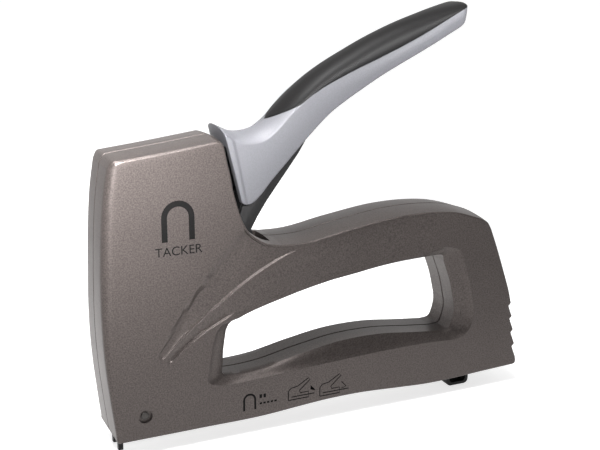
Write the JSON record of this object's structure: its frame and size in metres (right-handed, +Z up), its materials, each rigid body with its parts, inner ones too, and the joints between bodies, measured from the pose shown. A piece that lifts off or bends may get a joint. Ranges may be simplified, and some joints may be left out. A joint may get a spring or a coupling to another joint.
{
  "type": "staple gun",
  "caption": "Hand-squeezed staple gun with a cast two-half housing, D-shaped hand opening, sprung handle with soft grip and slide-out magazine.",
  "frame": {"origin": "centre of the bounding box at the surface the tool stands on, at the tips of the nose legs and the magazine tab", "axes": "+X from the nose to the rear, +Y to the tool's right side, +Z up towards the handle"},
  "size_m": [0.194, 0.026, 0.175],
  "materials": {
    "casting": "cast aluminium under bronze-grey metallic paint with a fine speckle",
    "silver_handle": "cast aluminium under satin silver paint",
    "soft_grip": "satin black soft grip",
    "black_steel": "black oxide steel",
    "steel": "plain bright steel",
    "spring_steel": "drawn spring wire",
    "zinc": "zinc plated",
    "rubber_pad": "matte black rubber",
    "black_plastic": "fine-grained black plastic"
  },
  "bodies": {
    "housing": {"left_housing": "casting", "right_housing": "casting", "housing_screw_1": "zinc", "housing_screw_2": "zinc", "housing_screw_3": "zinc", "housing_screw_4": "zinc", "housing_screw_5": "zinc", "nose_guide": "black_steel", "left_nose_pin": "steel", "right_nose_pin": "steel", "blade_guide": "steel", "bumper": "rubber_pad", "spring_cap": "steel", "main_spring": "spring_steel", "pivot_pin": "steel", "return_spring": "spring_steel", "magazine_track": "steel", "detent_leaf": "spring_steel"},
    "hammer": {"hammer": "steel", "driver_blade": "steel", "lift_pin": "steel"},
    "lever": {"lever_shell": "silver_handle", "grip_cover": "soft_grip", "lever_channel": "black_steel", "shell_screw_1": "zinc", "shell_screw_2": "zinc"},
    "magazine": {"magazine_rail": "steel", "magazine_end": "black_plastic", "magazine_tab": "black_steel", "pusher_rod": "steel", "staple_strip": "zinc", "pusher_spring": "spring_steel"},
    "pusher": {"pusher": "black_plastic"}
  },
  "joints": [
    {"name": "lever_pivot", "type": "hinge", "parent": "housing", "child": "lever", "pos_m": [-0.036, 0, 0.073], "axis": [0, 1, 0], "range_deg": [0, 32], "stiffness_Nm_per_rad": 0.5, "springref_deg": -17.19, "deforming": ["return_spring"]},
    {"name": "hammer_slide", "type": "slide", "parent": "housing", "child": "hammer", "axis": [0, 0, 1], "range_m": [0, 0.0166], "stiffness_N_per_m": 1500, "springref_m": -0.01, "deforming": ["main_spring"]},
    {"name": "magazine_slide", "type": "slide", "parent": "housing", "child": "magazine", "axis": [1, 0, 0], "range_m": [0, 0.09]},
    {"name": "pusher_slide", "type": "slide", "parent": "magazine", "child": "pusher", "axis": [1, 0, 0], "range_m": [0, 0.04], "stiffness_N_per_m": 60, "springref_m": -0.04, "deforming": ["pusher_spring"]}
  ],
  "couplings": [
    {"joint": "hammer_slide", "follows": "lever_pivot", "m_per_rad": 0.02961}
  ]
}
